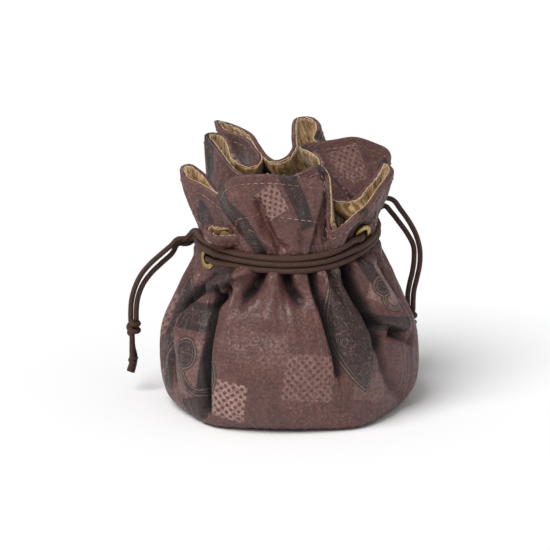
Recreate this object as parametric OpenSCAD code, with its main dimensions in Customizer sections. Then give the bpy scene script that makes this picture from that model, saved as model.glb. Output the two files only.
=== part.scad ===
// Drawstring dice bag: a soft leather-look pouch with a satin lining, four brass
// eyelets and two waxed drawcords. Millimetres, +Z up, the front faces -Y.
// The origin is the centre of the base, on the surface that the bag stands on.

/* [Body] */
// Diameter of the flat of the base
base_d = 92; // [80:1:112]
// How far the side swells out past the flat of the base
belly = 19; // [12:0.5:24]
// Height of the drawn neck, at the middle of its band of cords
neck_z = 72; // [60:1:87]
// Outer diameter of the leather at the neck
neck_d = 73; // [61:1:88]
// Depth of the pleats below the neck
pleat_depth = 2.4; // [0:0.2:4]

/* [Collar] */
// Height of the mouth edge at the back, between the eyelets
mouth_z = 115; // [106:1:138]
// How much lower the mouth edge is at the front
mouth_tilt = 9; // [0:1:14]
// Height of the mouth edge above each eyelet
eyelet_rim = 11.5; // [10:0.5:14]
// How far the gathered folds of the collar swing in and out
fold_depth = 7; // [2:0.5:8]
// Number of folds round the collar
fold_count = 8; // [6:1:8]
// Width of the leather that is turned in along the mouth and stitched down
facing_w = 17; // [16:0.5:20]

/* [Materials] */
// Thickness of the outer leather
leather_t = 1.2; // [0.9:0.1:1.6]
// Thickness of the satin lining
lining_t = 0.4; // [0.3:0.1:0.6]
// Diameter of the sewing thread
thread_d = 0.5; // [0.4:0.1:0.6]

/* [Eyelets] */
// Diameter of the hole through an eyelet
hole_d = 5.4; // [5:0.1:6.6]
// Outer diameter of an eyelet's flange
flange_d = 9.5; // [8.8:0.1:11.4]
// Height of the flange above the leather
flange_h = 0.8; // [0.6:0.1:0.9]
// Thickness of the metal
brass_t = 0.4; // [0.3:0.05:0.5]

/* [Cords] */
// Diameter of a drawcord
cord_d = 2.3; // [1.9:0.1:2.3]
// Height of the knot that joins a pair of cord ends
knot_h = 8.6; // [7.1:0.1:10.4]
// Diameter of that knot
knot_d = 6.6; // [6:0.1:7.6]

/* [Hidden] */

leather_color = "#5d4443";
satin_color = "#b09664";
brass_color = "#a08c58";
cord_color = "#45332a";
thread_color = "#8d6c69";

layer_gap = 0.1;                // air between two layers of cloth
metal_gap = 0.12;               // air between metal and cloth
swing_gap = 0.1;                // air between a knot and the cords that it hangs on
seam_rise = 0.3;                // the side wall starts this far above the base's underside
base_r = base_d / 2;
neck_r = neck_d / 2;
neck_band = 9;                  // height of the straight band that the cords lie on
neck_low = neck_z - neck_band / 2;
around = 80;                    // wall facets round the bag
round_fn = 48;
flat_r = flange_d / 2 + 3;      // radius of the flat patch that an eyelet sits on
fade_r = flat_r + 6;            // where that patch has blended into the wall
dip_half = 26;                  // half the angle over which the mouth dips to an eyelet
dip_flat = 6;                   // half the angle over which it stays at its lowest there

// Each eyelet: angle round the bag, height above the neck's middle, how far its centre is
// inside the neck's radius, how far its face turns from radial, and how far it looks down.
FRONT_LEFT = [206.5, -5, -1, 12, -6];
FRONT_RIGHT = [326, 6.5, -0.9, -8, 20];
BACK_RIGHT = [38, 3, 0.6, 0, 4];
BACK_LEFT = [149, 2, 0.6, 0, 4];
EYELETS = [FRONT_LEFT, FRONT_RIGHT, BACK_RIGHT, BACK_LEFT];
function polar(r, a, z) = [r * cos(a), r * sin(a), z];
function eyelet_at(e) = polar(neck_r - e[2], e[0], neck_z + e[1]);
function eyelet_axis(e) = [cos(e[0] + e[3]) * cos(e[4]), sin(e[0] + e[3]) * cos(e[4]), -sin(e[4])];

// Rows of the wall: [0, share of the side] up to the neck, then [1, share of the collar].
SIDE_ROWS = [0, 0.06, 0.14, 0.24, 0.36, 0.48, 0.6, 0.71, 0.81, 0.9, 1];
COLLAR_ROWS = [0.08, 0.16, 0.26, 0.38, 0.52, 0.68, 0.84, 1];
ROWS = concat([for (t = SIDE_ROWS) [0, t]], [for (s = COLLAR_ROWS) [1, s]]);
row_count = len(ROWS);

function unit(v) = v / norm(v);
function smooth(x) = let (c = min(1, max(0, x))) c * c * (3 - 2 * c);
function turn_apart(a, b) = abs(((a - b + 540) % 360) - 180);
function near_eyelet(a, e) = 1 - smooth((turn_apart(a, e[0]) - dip_flat) / (dip_half - dip_flat));
function dip(a) = max([for (e = EYELETS) near_eyelet(a, e)]);
function high_mouth(a) = mouth_z - mouth_tilt * (1 - sin(a)) / 2;
function mouth(a) = high_mouth(a) + [for (e = EYELETS) near_eyelet(a, e)
    * (neck_z + e[1] + eyelet_rim - high_mouth(a))] * [1, 1, 1, 1];

// The side from the base's edge to the neck is a cubic with a low, full belly.
SIDE = [[base_r, seam_rise], [base_r + belly, neck_z / 9], [neck_r + 15.5, neck_z * 0.65], [neck_r, neck_low]];
function cubic(p, t) = p[0] * pow(1 - t, 3) + p[1] * 3 * t * pow(1 - t, 2)
    + p[2] * 3 * t * t * (1 - t) + p[3] * t * t * t;
function pleat(a, t) = pleat_depth * sin(180 * smooth((t - 0.35) / 0.65)) * (1 - cos(fold_count * a)) / 2;
function side_point(a, t) = let (p = cubic(SIDE, t)) polar(p[0] - pleat(a, t), a, p[1]);
function fold(a, s) = fold_depth * pow(s, 1.6) * cos(fold_count * a) * (1 - dip(a));
function collar_point(a, s) = polar(neck_r + fold(a, s), a, neck_low + (mouth(a) - neck_low) * s);
function free_wall(a, row) = row[0] == 0 ? side_point(a, row[1]) : collar_point(a, row[1]);

// Draws a point onto the flat patch of an eyelet that is near it.
function onto(p, e) = let (c = eyelet_at(e), n = eyelet_axis(e),
                           w = 1 - smooth((norm(p - c) - flat_r) / (fade_r - flat_r)))
    p - n * ((p - c) * n) * w;
function wall(a, k) = onto(onto(onto(onto(free_wall(a, ROWS[k]), EYELETS[0]), EYELETS[1]), EYELETS[2]), EYELETS[3]);
function wall_normal(a, k) = let (d = 360 / around,
        up = wall(a, min(k + 1, row_count - 1)) - wall(a, max(k - 1, 0)))
    unit(cross(wall(a + d, k) - wall(a - d, k), up));

// Two triangles for each square of a grid that closes round the bag.
function at(k, i, around) = k * around + i % around;
function skin(n, around, start, flip) = [for (k = [0 : n - 2], i = [0 : around - 1], h = [0, 1])
    let (a = start + at(k, i, around), b = start + at(k, i + 1, around),
         c = start + at(k + 1, i + 1, around), d = start + at(k + 1, i, around))
    h == 0 ? (flip ? [a, b, c] : [a, c, b]) : (flip ? [a, c, d] : [a, d, c])];
function rim(low, high, around, flip) = [for (i = [0 : around - 1], h = [0, 1])
    let (a = at(low, i, around), b = at(low, i + 1, around), c = at(high, i + 1, around), d = at(high, i, around))
    h == 0 ? (flip ? [a, b, c] : [a, c, b]) : (flip ? [a, c, d] : [a, d, c])];

// A closed shell between two depths below the wall's outer face.
module layer(outer, inner) {
    face = [for (depth = [outer, inner], k = [0 : row_count - 1], i = [0 : around - 1])
        let (a = i * 360 / around) wall(a, k) - wall_normal(a, k) * depth];
    polyhedron(face, concat(
        skin(row_count, around, 0, false),
        skin(row_count, around, row_count * around, true),
        rim(0, row_count, around, true),
        rim(row_count - 1, 2 * row_count - 1, around, false)));
}

// A round tube swept along a line of points; ref is a direction that the line never takes.
module tube(line, r, ref, sides = 8, closed = false) {
    n = len(line);
    function p(i) = closed ? line[(i + n) % n] : line[max(0, min(n - 1, i))];
    ring = [for (i = [0 : n - 1]) let (t = unit(p(i + 1) - p(i - 1)), u = unit(cross(ref, t)), v = cross(t, u))
        for (j = [0 : sides - 1]) line[i] + r * (cos(360 * j / sides) * u + sin(360 * j / sides) * v)];
    caps = [[for (j = [0 : sides - 1]) j], [for (j = [sides - 1 : -1 : 0]) (n - 1) * sides + j]];
    polyhedron(ring, concat(skin(n, sides, 0, false), closed ? rim(n - 1, 0, sides, false) : caps));
}

// Places a child with +Z along an eyelet's axis and its origin on the leather's outer face.
module on_eyelet(e) {
    n = eyelet_axis(e);
    translate(eyelet_at(e)) rotate([0, acos(n[2]), atan2(n[1], n[0])]) children();
}

stack_t = leather_t + layer_gap + lining_t;     // the cloth that an eyelet clamps
punch_r = hole_d / 2 + brass_t + metal_gap;
module eyelet_holes()
    for (e = EYELETS) on_eyelet(e) cylinder(h = 4 * stack_t, r = punch_r, center = true, $fn = round_fn);

module leather_body() color(leather_color) difference() {
    layer(0, leather_t);
    eyelet_holes();
}
module lining_body() color(satin_color) difference() {
    layer(leather_t + layer_gap, stack_t);
    eyelet_holes();
}
module disc(z, h, r) translate([0, 0, z]) cylinder(h = h, r = r, $fn = round_fn);
seam_room = 1.3;                // between the base's edge and the side wall
module leather_base() color(leather_color) disc(0, leather_t, base_r - seam_room);
module lining_base() color(satin_color) disc(leather_t + layer_gap, lining_t, base_r - seam_room);

// The wall's outer face at a given drop below the mouth edge, lifted by half a thread.
thread_lift = thread_d / 2 + 0.25;
function face_below(a, drop) = let (z = mouth(a) - drop,
        under = [for (k = [0 : row_count - 2]) if (wall(a, k)[2] <= z) k], k = under[len(under) - 1],
        low = wall(a, k), high = wall(a, k + 1), w = (z - low[2]) / (high[2] - low[2]))
    low * (1 - w) + high * w + thread_lift * unit(wall_normal(a, k) * (1 - w) + wall_normal(a, k + 1) * w);
facing_stop = 20;               // the facing's stitches end this many degrees from each eyelet
hem_drop = 2.6;
back_a = 112.5;                 // the seam stands in a valley between two pleats
module hem_thread() color(thread_color)
    tube([for (i = [0 : around - 1]) face_below(i * 360 / around, hem_drop)], thread_d / 2, [0, 0, 1], 6, true);
module facing_thread() color(thread_color)
    for (ends = [[BACK_RIGHT[0], BACK_LEFT[0]], [BACK_LEFT[0], FRONT_LEFT[0]],
                 [FRONT_LEFT[0], FRONT_RIGHT[0]], [FRONT_RIGHT[0], BACK_RIGHT[0] + 360]])
        let (first = ends[0] + facing_stop, last = ends[1] - facing_stop, n = ceil((last - first) * around / 360))
            tube([for (i = [0 : n]) face_below(first + (last - first) * i / n, facing_w)],
                 thread_d / 2, [0, 0, 1], 6);
module back_seam_thread() color(thread_color)
    tube([for (k = [1 : row_count - 1]) if (wall(back_a, k)[2] < mouth(back_a) - facing_w - thread_d)
          wall(back_a, k) + thread_lift * wall_normal(back_a, k)], thread_d / 2, [1, 0, 0], 6);
module base_seam_thread() color(thread_color) rotate_extrude($fn = round_fn)
    translate([base_r - seam_room + 0.45, leather_t / 2]) circle(d = thread_d - 0.1, $fn = 16);

// An eyelet's flange is rounded at its edge, and its barrel is rolled over the washer.
washer_top = stack_t + metal_gap;
lip_top = washer_top + brass_t + metal_gap;
lip_w = 0.7;
flange_round = 0.4;
module eyelet(e) color(brass_color) on_eyelet(e) rotate_extrude($fn = round_fn) {
    translate([hole_d / 2, metal_gap]) square([flange_d / 2 - hole_d / 2 - flange_round, flange_h]);
    translate([flange_d / 2 - flange_round, metal_gap + flange_h - flange_round])
        intersection() {
            circle(r = flange_round, $fn = 24);
            translate([-flange_round, 0]) square(2 * flange_round);
        }
    translate([flange_d / 2 - flange_round, metal_gap]) square([flange_round, flange_h - flange_round]);
    translate([hole_d / 2, -lip_top - brass_t]) square([brass_t, lip_top + brass_t + metal_gap]);
    translate([hole_d / 2, -lip_top - brass_t]) square([brass_t + lip_w, brass_t]);
}
module washer(e) color(brass_color) on_eyelet(e) translate([0, 0, -washer_top - brass_t]) difference() {
    cylinder(h = brass_t, r = flange_d / 2, $fn = round_fn);
    translate([0, 0, -brass_t]) cylinder(h = 3 * brass_t, r = punch_r, $fn = round_fn);
}

// A cord's way through an eyelet: [height over the leather, distance along it].
THROUGH = [[2.5, -3.8], [2.1, -1.9], [0.8, -0.6], [-0.9, -0.1], [-2.6, 0.4], [-3.9, 1.7], [-4.2, 3.6]];
function pass(e, way) = let (n = eyelet_axis(e), along = unit(cross([0, 0, 1], n)))
    [for (q = THROUGH) eyelet_at(e) + n * q[0] + along * way * q[1]];
function backwards(p) = [for (i = [len(p) - 1 : -1 : 0]) p[i]];
// Cords round the neck: [angle, distance outside the neck's radius, height over its middle].
function lane(p) = [for (q = p) polar(neck_r + q[1], q[0], neck_z + q[2])];
// Cords that have left the neck move with it when its size changes.
drawn_r = 36.5;
drawn_z = 72;
function from_left(p) = [for (q = p) q + [drawn_r - neck_r, 0, neck_z - drawn_z]];
function from_right(p) = [for (q = p) q + [neck_r - drawn_r, 0, neck_z - drawn_z]];

LEFT_NECK = concat(
    from_left([[-45.5, 5.7, 69.2], [-44.2, 5.7, 69.2], [-42.2, 4.8, 71], [-41, 2.6, 73.1], [-39.6, -0.5, 74.5]]),
    lane([[187, 2.2, 2.9], [195, 2.6, 2.9], [204, 2.9, 2.7], [213, 2.6, 2.3], [222, 2.2, 1.8], [231, 2.1, 1.4],
          [240, 2.1, 1.1], [249, 2.1, 0.9], [258, 2.1, 0.8], [267, 2.1, 0.7], [276, 2.1, 0.8], [285, 2.1, 1.2],
          [294, 2.1, 1.8], [303, 2.1, 3], [311, 2.1, 4.6], [316, 2.4, 5.6]]),
    pass(FRONT_RIGHT, 1),
    lane([[339, -4.5, 8], [347, -4.5, 7], [356, -4.5, 6], [366, -4.5, 5], [376, -4.5, 4], [385, -4.5, 3.3]]),
    backwards(pass(BACK_RIGHT, -1)),
    lane([[52, 2.1, 3], [61, 2.1, 3], [70, 2.1, 3], [79, 2.1, 3], [88, 2.1, 3], [97, 2.1, 2.7], [106, 2.1, 2.1],
          [115, 2.1, 1.4], [124, 2.1, 0.7], [133, 2.1, 0], [142, 2.1, -0.5], [150, 2.1, -0.7]]),
    from_left([[-36.5, 14.8, 70], [-39.2, 12.2, 68.7], [-41.2, 10, 67.4], [-42.8, 8.6, 66.6],
               [-44.2, 8.3, 66.4], [-45.5, 8.3, 66.4]]));
RIGHT_NECK = concat(
    from_right([[38.4, 27.3, 77.3], [37, 27.3, 77.3], [35, 26.7, 76.9], [34.3, 24.8, 76.5], [35, 22.6, 76.2],
                [37.2, 18.6, 75.8], [38.3, 13.8, 75.2]]),
    lane([[11, 2.4, 2.6], [2, 2.1, 2.5], [-7, 2.1, 2.2], [-16, 2.1, 1.6], [-25, 2.1, 0.8], [-34, 2.1, -0.2],
          [-43, 2.1, -1.4], [-52, 2.1, -2.6], [-61, 2.1, -3.5], [-70, 2.1, -4.1], [-79, 2.1, -4.5],
          [-88, 2.1, -4.6], [-97, 2.1, -4.6], [-106, 2.1, -4.6], [-115, 2.1, -4.5], [-124, 2.1, -4.4],
          [-133, 2.3, -4.7], [-141, 3, -5]]),
    pass(FRONT_LEFT, -1),
    lane([[193, -4.5, -3.4], [185, -4.5, -1.7], [177, -4.5, -0.2], [169, -4.5, 1], [162, -4.5, 1.6]]),
    backwards(pass(BACK_LEFT, 1)),
    lane([[135, 2.1, 3], [126, 2.1, 3.7], [117, 2.1, 4.4], [108, 2.1, 5], [99, 2.1, 5.5], [90, 2.1, 5.7],
          [81, 2.1, 5.8], [72, 2.1, 5.8], [63, 2.1, 5.8], [54, 2.1, 5.8], [45, 2.1, 5.8], [36, 2.1, 5.8],
          [27, 2.1, 5.7], [18, 2.1, 5.5], [9, 2.1, 5.3], [0, 2.1, 5], [-9, 2.1, 4.8], [-18, 2.4, 4.2],
          [-27, 2.9, 3.4], [-36, 2.9, 2.4], [-45, 2.5, 1.4], [-54, 2.1, 0.2], [-63, 2.1, -0.9], [-72, 2.1, -1.4],
          [-81, 2.1, -1.7], [-90, 2.1, -1.8], [-99, 2.1, -1.8], [-108, 2.1, -1.7], [-117, 2.1, -1.6],
          [-126, 2.1, -1.5], [-135, 2.4, -1.3], [-144, 3.3, -0.9], [-153, 4, -0.4], [-162, 3.9, -0.2],
          [-171, 2.9, -0.4], [-180, 2.2, -0.6], [-189, 2.1, -0.2], [-196, 2.1, 0.9], [-204, 2.1, 2.8],
          [-211, 2.1, 4.7], [-219, 2.1, 5.8], [-228, 2.1, 6.6], [-237, 2.1, 7.2], [-246, 2.1, 7.7],
          [-255, 2.1, 8], [-264, 2.1, 8.1], [-273, 2.1, 8.2], [-282, 2.1, 8.2], [-291, 2.1, 8.2],
          [-300, 2.1, 8.2], [-308, 2.8, 8.3]]),
    from_right([[28.6, 28.6, 80.3], [31.8, 26.7, 80.4], [34.5, 25.3, 80.6], [37, 24.7, 80.7], [38.4, 24.7, 80.7]]));
LEFT_FRONT = from_left([[-45.5, 5.7, 69.2], [-46.9, 5.7, 69.2], [-50.5, 5.8, 66], [-55, 6, 62], [-59.3, 6.1, 58],
    [-63.2, 6.3, 53.2], [-66, 6.5, 47.5], [-67.7, 6.8, 41], [-68.1, 7, 35.5], [-68.1, 7, 32]]);
LEFT_BACK = from_left([[-45.5, 8.3, 66.4], [-46.9, 8.3, 66.4], [-50, 8.2, 62], [-54.8, 8, 57.5], [-59.3, 7.8, 53],
    [-62.8, 7.6, 48], [-65, 7.3, 42], [-65.7, 7, 35.5], [-65.7, 7, 32]]);
RIGHT_FRONT = from_right([[38.4, 24.7, 80.7], [39.8, 24.7, 80.7], [42, 24.9, 82.1], [45, 25.4, 81.6],
    [49.2, 25.8, 76.6], [52.9, 26, 71.2], [56, 26, 65], [57.6, 26, 58.6], [57.6, 26, 52], [56.4, 26, 45.5],
    [55.2, 26, 40], [54.9, 26, 35.2], [54.9, 26, 31.6]]);
RIGHT_BACK = from_right([[38.4, 27.3, 77.3], [39.8, 27.3, 77.3], [42, 27, 78.2], [45, 26.6, 75.4],
    [48.3, 26.3, 71.2], [52, 26.2, 66], [54.8, 26.1, 60.2], [55.1, 26, 54.5], [54.4, 26, 48.5],
    [53.1, 26, 42.5], [52.5, 26, 38], [52.5, 26, 35.2], [52.5, 26, 31.6]]);
LEFT_KNOT_TOP = from_left([[-66.9, 7, 33.2]])[0];
RIGHT_KNOT_TOP = from_right([[53.7, 26, 32.8]])[0];
// The short ends below a knot, from the middle of the knot's underside.
END_A = [[-0.7, -1.2, 0], [-0.8, -1.2, -6], [-0.9, -1.2, -11], [-2.1, -1, -15]];
END_B = [[-0.7, 1.2, 0], [-0.5, 1.2, -4.5], [0.4, 1.2, -9.4], [0, 1.1, -12.8], [-0.9, 1, -16.2]];

module cord(line) color(cord_color) tube(line, cord_d / 2, [0.02, 0.01, 1]);
module free_cord(line) color(cord_color) tube(line, cord_d / 2, [0, 1, 0]);
knot_side_r = 12;               // radius of the knot's barrel-shaped side
function knot_middle(top) = top - [0, 0, knot_h / 2];
// A knot is a barrel with a round top, so that it can turn about its middle under the cords.
module knot(top) color(cord_color) translate(knot_middle(top)) rotate_extrude($fn = round_fn)
    intersection() {
        translate([0, -knot_h / 2]) square([knot_d, knot_h]);
        translate([knot_d / 2 - knot_side_r, 0]) circle(r = knot_side_r, $fn = round_fn);
        union() {
            circle(d = knot_h, $fn = round_fn);
            translate([0, -knot_h / 2]) square([knot_d, knot_h / 2]);
        }
    }
module tail(line, top) color(cord_color) difference() {
    free_cord(line);
    translate(knot_middle(top)) sphere(r = knot_h / 2 + swing_gap, $fn = round_fn);
}
module cord_ends(top) for (line = [END_A, END_B])
    free_cord([for (p = line) top - [0, 0, knot_h] + p]);

leather_body();
leather_base();
lining_body();
lining_base();
hem_thread();
facing_thread();
back_seam_thread();
base_seam_thread();
eyelet(FRONT_LEFT);  // eyelet_front_left
eyelet(FRONT_RIGHT);  // eyelet_front_right
eyelet(BACK_RIGHT);  // eyelet_back_right
eyelet(BACK_LEFT);  // eyelet_back_left
washer(FRONT_LEFT);  // washer_front_left
washer(FRONT_RIGHT);  // washer_front_right
washer(BACK_RIGHT);  // washer_back_right
washer(BACK_LEFT);  // washer_back_left
cord(LEFT_NECK);  // left_cord_neck
cord(RIGHT_NECK);  // right_cord_neck
tail(LEFT_FRONT, LEFT_KNOT_TOP);  // left_tail_front
tail(LEFT_BACK, LEFT_KNOT_TOP);  // left_tail_back
knot(LEFT_KNOT_TOP);  // left_knot
cord_ends(LEFT_KNOT_TOP);  // left_cord_ends
tail(RIGHT_FRONT, RIGHT_KNOT_TOP);  // right_tail_front
tail(RIGHT_BACK, RIGHT_KNOT_TOP);  // right_tail_back
knot(RIGHT_KNOT_TOP);  // right_knot
cord_ends(RIGHT_KNOT_TOP);  // right_cord_ends
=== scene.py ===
import math
import bpy
import numpy as np
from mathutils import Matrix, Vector
from mathutils.bvhtree import BVHTree


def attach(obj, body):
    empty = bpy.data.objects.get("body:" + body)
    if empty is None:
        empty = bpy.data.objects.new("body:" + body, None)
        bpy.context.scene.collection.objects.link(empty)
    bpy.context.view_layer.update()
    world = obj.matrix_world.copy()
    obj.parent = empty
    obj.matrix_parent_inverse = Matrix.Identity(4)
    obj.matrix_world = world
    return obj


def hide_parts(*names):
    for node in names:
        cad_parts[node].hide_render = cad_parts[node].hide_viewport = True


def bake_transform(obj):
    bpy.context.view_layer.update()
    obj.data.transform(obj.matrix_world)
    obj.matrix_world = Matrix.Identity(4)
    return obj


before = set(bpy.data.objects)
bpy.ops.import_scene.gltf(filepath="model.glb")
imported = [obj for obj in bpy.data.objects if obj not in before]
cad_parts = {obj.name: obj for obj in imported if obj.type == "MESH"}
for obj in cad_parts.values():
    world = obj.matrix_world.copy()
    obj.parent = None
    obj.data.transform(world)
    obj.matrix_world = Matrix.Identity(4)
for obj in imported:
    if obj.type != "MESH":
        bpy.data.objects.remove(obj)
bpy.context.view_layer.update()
mm = 0.001

# everything below is worked out in millimetres and turned into metres when its mesh is made
view = {"target": (-5.6, 0.0, 54.6), "distance": 1600.0, "elevation": 16.0, "lens": 243.6}


def makeCamera(v):
    tilt = math.radians(v["elevation"])
    data = bpy.data.cameras.new("camera")
    data.lens = v["lens"]
    data.clip_start, data.clip_end = 0.01, 20
    camera = bpy.data.objects.new("camera", data)
    bpy.context.scene.collection.objects.link(camera)
    x, y, z = v["target"]
    d = v["distance"]
    camera.location = (x * mm, (y - d * math.cos(tilt)) * mm, (z + d * math.sin(tilt)) * mm)
    camera.rotation_euler = (math.pi / 2 - tilt, 0, 0)
    bpy.context.scene.camera = camera


makeCamera(view)
print("camera in place")


# small tools for shapes

def smooth(x):  # 0 to 1 with level ends
    c = np.clip(x, 0, 1)
    return c * c * (3 - 2 * c)


def unit(v):
    return v / np.maximum(np.linalg.norm(v, axis=-1, keepdims=True), 1e-9)


def polar(r, degrees, z):
    a = np.radians(degrees)
    return np.stack(np.broadcast_arrays(r * np.cos(a), r * np.sin(a), z), axis=-1).astype(float)


def lengthAlong(p):
    return np.concatenate([[0], np.cumsum(np.linalg.norm(np.diff(p, axis=0), axis=1))])


def curveThrough(points, step, closed=False):
    # cubic through the points with the parameter measured along the chords, then points every step
    p = np.asarray(points, float)
    if closed:
        p = np.concatenate([p[-2:], p, p[:3]])
    t = lengthAlong(p)
    h = np.diff(t)[:, None]
    slope = np.diff(p, axis=0) / h
    m = np.concatenate([slope[:1], (slope[1:] * h[:-1] + slope[:-1] * h[1:]) / (h[1:] + h[:-1]),
                        slope[-1:]])
    low, high = (t[2], t[-3]) if closed else (t[0], t[-1])
    q = np.linspace(low, high, max(8, int((high - low) / step * 4)))
    k = np.clip(np.searchsorted(t, q, side="right") - 1, 0, len(h) - 1)
    s = ((q - t[k]) / h[k, 0])[:, None]
    fine = ((2 * s**3 - 3 * s**2 + 1) * p[k] + (s**3 - 2 * s**2 + s) * h[k] * m[k]
            + (3 * s**2 - 2 * s**3) * p[k + 1] + (s**3 - s**2) * h[k] * m[k + 1])
    along = lengthAlong(fine)
    n = max(3, int(round(along[-1] / step)))
    at = np.linspace(0, along[-1], n + 1)
    if closed:
        at = at[:-1]
    return np.stack([np.interp(at, along, fine[:, j]) for j in range(3)], axis=1)


def ringsAlong(line, radius, sides, closed=False):
    # a frame carried along the line without twist, and a circle in it at each point
    ahead = np.roll(line, -1, 0) - np.roll(line, 1, 0) if closed else np.gradient(line, axis=0)
    ahead = unit(ahead)
    across = np.zeros_like(line)
    first = np.cross(ahead[0], (0.3, 0.2, 1.0))
    across[0] = first / np.linalg.norm(first)
    for i in range(1, len(line)):
        side = across[i - 1] - ahead[i] * np.dot(across[i - 1], ahead[i])
        across[i] = side / np.linalg.norm(side)
    up = np.cross(ahead, across)
    a = np.linspace(0, 2 * np.pi, sides, endpoint=False)
    r = np.broadcast_to(np.asarray(radius, float), (len(line),))[:, None, None]
    return line[:, None] + r * (np.cos(a)[None, :, None] * across[:, None] + np.sin(a)[None, :, None]
                                * up[:, None])


def gridFaces(rows, columns, closeColumns=True, closeRows=False, start=0):
    i = np.arange(rows if closeRows else rows - 1)[:, None]
    j = np.arange(columns if closeColumns else columns - 1)[None, :]
    a = start + i * columns + j
    b = start + i * columns + (j + 1) % columns
    c = start + ((i + 1) % rows) * columns + (j + 1) % columns
    d = start + ((i + 1) % rows) * columns + j
    return np.stack([a, b, c, d], axis=-1).reshape(-1, 4)


def makeMesh(name, points, faces, body, material, replaced=(), uv=None, fields=None, ends=()):
    mesh = bpy.data.meshes.new(name)
    allFaces = np.asarray(faces).tolist() + [list(e) for e in ends]
    mesh.from_pydata((np.asarray(points).reshape(-1, 3) * mm).tolist(), [], allFaces)
    mesh.validate()
    if uv is not None:
        layer = mesh.uv_layers.new(name="weave")
        flat = np.concatenate([np.asarray(uv, float).reshape(-1, 2),
                               np.zeros((sum(len(e) for e in ends), 2))])
        layer.data.foreach_set("uv", flat.astype(np.float32).ravel())
    for key, values in (fields or {}).items():
        attribute = mesh.attributes.new(key, "FLOAT", "POINT")
        attribute.data.foreach_set("value", np.asarray(values, np.float32).ravel())
    mesh.polygons.foreach_set("use_smooth", np.ones(len(mesh.polygons), bool))
    mesh.update()
    obj = bpy.data.objects.new(name, mesh)
    bpy.context.scene.collection.objects.link(obj)
    mesh.materials.append(material)
    if replaced:
        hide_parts(*replaced)
    if body:
        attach(obj, body)
    return obj


# shader maths as plain expressions

class Signal:
    def __init__(self, tree, socket):
        self.tree, self.socket = tree, socket

    def maths(self, operation, *others):
        n = self.tree.nodes.new("ShaderNodeMath")
        n.operation = operation
        for i, v in enumerate((self, *others)):
            plug(self.tree, v, n.inputs[i])
        return Signal(self.tree, n.outputs[0])

    def __add__(self, o):
        return self.maths("ADD", o)

    def __radd__(self, o):
        return self.maths("ADD", o)

    def __sub__(self, o):
        return self.maths("SUBTRACT", o)

    def __rsub__(self, o):
        return (self * -1.0) + o

    def __mul__(self, o):
        return self.maths("MULTIPLY", o)

    def __rmul__(self, o):
        return self.maths("MULTIPLY", o)

    def __truediv__(self, o):
        return self.maths("DIVIDE", o)

    def __abs__(self):
        return self.maths("ABSOLUTE")

    def sine(self):
        return self.maths("SINE")

    def fract(self):
        return self.maths("FRACT")

    def larger(self, o):
        return self.maths("MAXIMUM", o)

    def smaller(self, o):
        return self.maths("MINIMUM", o)

    def root(self):
        return self.maths("SQRT")

    def clamp(self):
        return self.larger(0.0).smaller(1.0)

    def step(self, low, high):
        # 0 below low, 1 above high, smooth between; low may be the larger
        n = self.tree.nodes.new("ShaderNodeMapRange")
        n.interpolation_type = "SMOOTHSTEP"
        flip = low > high
        plug(self.tree, self, n.inputs[0])
        n.inputs[1].default_value, n.inputs[2].default_value = (high, low) if flip else (low, high)
        n.inputs[3].default_value, n.inputs[4].default_value = (1.0, 0.0) if flip else (0.0, 1.0)
        return Signal(self.tree, n.outputs[0])


def plug(tree, value, socket):
    if isinstance(value, Signal):
        tree.links.new(value.socket, socket)
    elif socket.type == "RGBA" and len(value) == 3:
        socket.default_value = (*value, 1.0)
    else:
        socket.default_value = value


def addNode(tree, kind, settings=None, out=0, **inputs):
    n = tree.nodes.new("ShaderNode" + kind)
    for key, value in (settings or {}).items():
        setattr(n, key, value)
    for key, value in inputs.items():
        plug(tree, value, n.inputs[key.replace("_", " ")])
    return Signal(tree, n.outputs[out])


def colour(red, green, blue):  # from the 0 to 255 of a paint chart to linear light
    return tuple((c / 255 / 12.92) if c / 255 <= 0.04045 else ((c / 255 + 0.055) / 1.055)**2.4
                 for c in (red, green, blue))


def mix(factor, a, b):
    tree = factor.tree
    n = tree.nodes.new("ShaderNodeMix")
    n.data_type = "RGBA"
    plug(tree, factor, n.inputs[0])
    plug(tree, a, n.inputs[6])
    plug(tree, b, n.inputs[7])
    return Signal(tree, n.outputs[2])


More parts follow.
